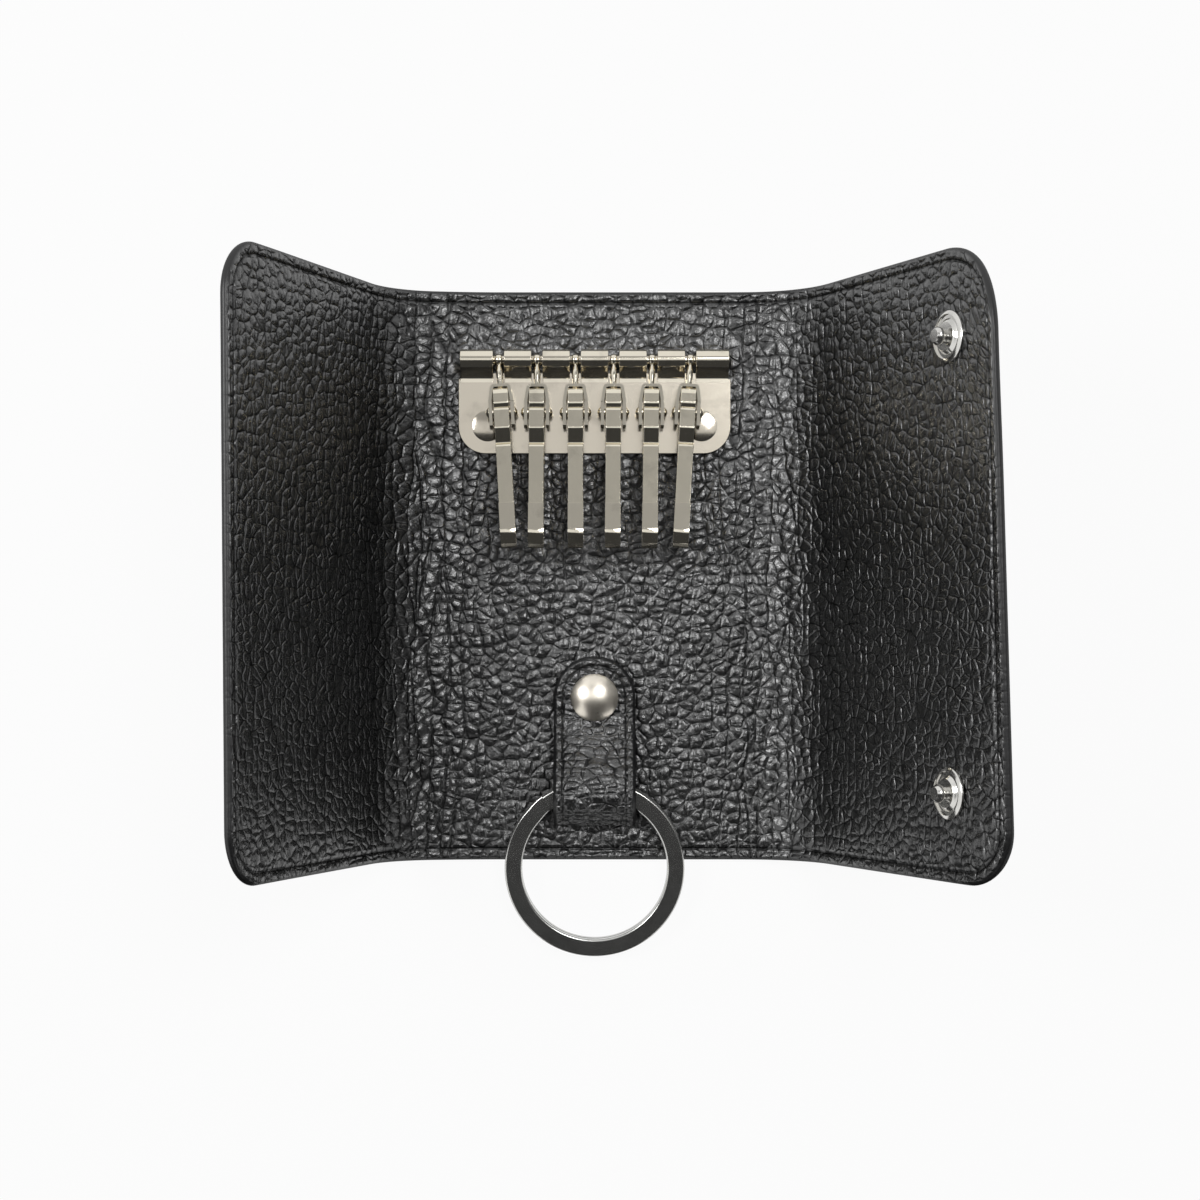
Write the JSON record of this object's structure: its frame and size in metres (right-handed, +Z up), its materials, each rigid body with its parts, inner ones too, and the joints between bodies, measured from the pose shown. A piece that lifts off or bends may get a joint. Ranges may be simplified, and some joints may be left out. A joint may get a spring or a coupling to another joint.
{
  "type": "key case",
  "caption": "Black grained leather key case lying open, its side wings raised, with swivelling key hooks on a nickel plate, a split ring on a riveted strap and snap studs.",
  "frame": {"origin": "on the underside of the base panel, on the centre line of the hooks, halfway up the case's height", "axes": "+Z up off the base panel, +Y to the hooks' end of the case, +X to the wing with the snap studs"},
  "size_m": [0.1258, 0.1227, 0.0599],
  "materials": {
    "shell_leather": "black pebble grain, satin",
    "lining_leather": "black pebble grain, satin",
    "strap_leather": "black fine grain, satin, painted edges",
    "plate_nickel": "bright nickel plate",
    "hook_nickel": "bright nickel plate",
    "gate_nickel": "bright nickel plate",
    "spring_steel": "plain spring steel",
    "ring_steel": "nickel plated spring steel",
    "rivet_nickel": "polished nickel",
    "snap_nickel": "polished nickel"
  },
  "bodies": {
    "base": {"base_shell": "shell_leather", "base_lining": "lining_leather", "hook_plate": "plate_nickel", "hinge_bar": "plate_nickel", "plate_rivets": "plate_nickel", "ring_strap": "strap_leather", "strap_rivet_cap": "rivet_nickel", "strap_rivet_post": "rivet_nickel"},
    "left_spine": {"left_spine_shell": "shell_leather", "left_spine_lining": "lining_leather"},
    "left_wing": {"left_wing_shell": "shell_leather", "left_wing_lining": "lining_leather", "snap_sockets": "snap_nickel", "socket_springs": "spring_steel", "socket_posts": "snap_nickel"},
    "right_spine": {"right_spine_shell": "shell_leather", "right_spine_lining": "lining_leather"},
    "right_wing": {"right_wing_shell": "shell_leather", "right_wing_lining": "lining_leather", "snap_studs": "snap_nickel", "stud_posts": "snap_nickel"},
    "ring": {"split_ring": "ring_steel"},
    "swivel_1": {"swivel_pin_1": "hook_nickel"},
    "hook_1": {"hook_body_1": "hook_nickel", "gate_pin_1": "hook_nickel", "gate_spring_1": "spring_steel"},
    "gate_1": {"hook_gate_1": "gate_nickel"},
    "swivel_2": {"swivel_pin_2": "hook_nickel"},
    "hook_2": {"hook_body_2": "hook_nickel", "gate_pin_2": "hook_nickel", "gate_spring_2": "spring_steel"},
    "gate_2": {"hook_gate_2": "gate_nickel"},
    "swivel_3": {"swivel_pin_3": "hook_nickel"},
    "hook_3": {"hook_body_3": "hook_nickel", "gate_pin_3": "hook_nickel", "gate_spring_3": "spring_steel"},
    "gate_3": {"hook_gate_3": "gate_nickel"},
    "swivel_4": {"swivel_pin_4": "hook_nickel"},
    "hook_4": {"hook_body_4": "hook_nickel", "gate_pin_4": "hook_nickel", "gate_spring_4": "spring_steel"},
    "gate_4": {"hook_gate_4": "gate_nickel"},
    "swivel_5": {"swivel_pin_5": "hook_nickel"},
    "hook_5": {"hook_body_5": "hook_nickel", "gate_pin_5": "hook_nickel", "gate_spring_5": "spring_steel"},
    "gate_5": {"hook_gate_5": "gate_nickel"},
    "swivel_6": {"swivel_pin_6": "hook_nickel"},
    "hook_6": {"hook_body_6": "hook_nickel", "gate_pin_6": "hook_nickel", "gate_spring_6": "spring_steel"},
    "gate_6": {"hook_gate_6": "gate_nickel"}
  },
  "joints": [
    {"name": "left_spine_fold", "type": "hinge", "parent": "base", "child": "left_spine", "pos_m": [-0.0282, 0, 0.0017], "axis": [0, 1, 0], "range_deg": [-34.7, 55.3]},
    {"name": "left_wing_fold", "type": "hinge", "parent": "left_spine", "child": "left_wing", "pos_m": [-0.03889, 0, 0.0091], "axis": [0, 1, 0], "range_deg": [-34.7, 55.3]},
    {"name": "right_spine_fold", "type": "hinge", "parent": "base", "child": "right_spine", "pos_m": [0.0265, 0, 0.0017], "axis": [0, -1, 0], "range_deg": [-32.4, 57.6]},
    {"name": "right_wing_fold", "type": "hinge", "parent": "right_spine", "child": "right_wing", "pos_m": [0.04195, 0, 0.01151], "axis": [0, -1, 0], "range_deg": [-32.4, 57.6]},
    {"name": "ring_swing", "type": "hinge", "parent": "base", "child": "ring", "pos_m": [0, -0.0401, 0.00572], "axis": [-1, 0, 0], "range_deg": [0, 180]},
    {"name": "hook_1_swing", "type": "hinge", "parent": "base", "child": "swivel_1", "pos_m": [-0.01762, 0.0396, 0.00359], "axis": [-1, 0, 0], "range_deg": [0, 160]},
    {"name": "hook_1_spin", "type": "hinge", "parent": "swivel_1", "child": "hook_1", "pos_m": [-0.01762, 0.0396, 0.00359], "axis": [0.061, -0.9726, 0.2245], "continuous": true},
    {"name": "gate_1_hinge", "type": "hinge", "parent": "hook_1", "child": "gate_1", "pos_m": [-0.017, 0.0297, 0.00598], "axis": [0.9981, 0.0595, -0.0137], "range_deg": [0, 6], "stiffness_Nm_per_rad": 0.02, "springref_deg": -5.73},
    {"name": "hook_2_swing", "type": "hinge", "parent": "base", "child": "swivel_2", "pos_m": [-0.01057, 0.0396, 0.00359], "axis": [-1, 0, 0], "range_deg": [0, 160]},
    {"name": "hook_2_spin", "type": "hinge", "parent": "swivel_2", "child": "hook_2", "pos_m": [-0.01057, 0.0396, 0.00359], "axis": [0, -0.9744, 0.225], "continuous": true},
    {"name": "gate_2_hinge", "type": "hinge", "parent": "hook_2", "child": "gate_2", "pos_m": [-0.01057, 0.02968, 0.00598], "axis": [1, 0, 0], "range_deg": [0, 6], "stiffness_Nm_per_rad": 0.02, "springref_deg": -5.73},
    {"name": "hook_3_swing", "type": "hinge", "parent": "base", "child": "swivel_3", "pos_m": [-0.00352, 0.0396, 0.00359], "axis": [-1, 0, 0], "range_deg": [0, 160]},
    {"name": "hook_3_spin", "type": "hinge", "parent": "swivel_3", "child": "hook_3", "pos_m": [-0.00352, 0.0396, 0.00359], "axis": [0.0035, -0.9744, 0.2249], "continuous": true},
    {"name": "gate_3_hinge", "type": "hinge", "parent": "hook_3", "child": "gate_3", "pos_m": [-0.00349, 0.02968, 0.00598], "axis": [1, 0.0034, -0.0008], "range_deg": [0, 6], "stiffness_Nm_per_rad": 0.02, "springref_deg": -5.73},
    {"name": "hook_4_swing", "type": "hinge", "parent": "base", "child": "swivel_4", "pos_m": [0.00352, 0.0396, 0.00359], "axis": [-1, 0, 0], "range_deg": [0, 160]},
    {"name": "hook_4_spin", "type": "hinge", "parent": "swivel_4", "child": "hook_4", "pos_m": [0.00352, 0.0396, 0.00359], "axis": [-0.007, -0.9743, 0.2249], "continuous": true},
    {"name": "gate_4_hinge", "type": "hinge", "parent": "hook_4", "child": "gate_4", "pos_m": [0.00345, 0.02968, 0.00598], "axis": [1, -0.0068, 0.0016], "range_deg": [0, 6], "stiffness_Nm_per_rad": 0.02, "springref_deg": -5.73},
    {"name": "hook_5_swing", "type": "hinge", "parent": "base", "child": "swivel_5", "pos_m": [0.01057, 0.0396, 0.00359], "axis": [-1, 0, 0], "range_deg": [0, 160]},
    {"name": "hook_5_spin", "type": "hinge", "parent": "swivel_5", "child": "hook_5", "pos_m": [0.01057, 0.0396, 0.00359], "axis": [-0.0175, -0.9742, 0.2249], "continuous": true},
    {"name": "gate_5_hinge", "type": "hinge", "parent": "hook_5", "child": "gate_5", "pos_m": [0.0104, 0.02969, 0.00598], "axis": [0.9998, -0.017, 0.0039], "range_deg": [0, 6], "stiffness_Nm_per_rad": 0.02, "springref_deg": -5.73},
    {"name": "hook_6_swing", "type": "hinge", "parent": "base", "child": "swivel_6", "pos_m": [0.01762, 0.0396, 0.00359], "axis": [-1, 0, 0], "range_deg": [0, 160]},
    {"name": "hook_6_spin", "type": "hinge", "parent": "swivel_6", "child": "hook_6", "pos_m": [0.01762, 0.0396, 0.00359], "axis": [-0.0593, -0.9727, 0.2246], "continuous": true},
    {"name": "gate_6_hinge", "type": "hinge", "parent": "hook_6", "child": "gate_6", "pos_m": [0.01702, 0.0297, 0.00598], "axis": [0.9982, -0.0578, 0.0133], "range_deg": [0, 6], "stiffness_Nm_per_rad": 0.02, "springref_deg": -5.73}
  ],
  "couplings": [
    {"joint": "left_wing_fold", "follows": "left_spine_fold", "ratio": 1},
    {"joint": "right_wing_fold", "follows": "right_spine_fold", "ratio": 1}
  ]
}
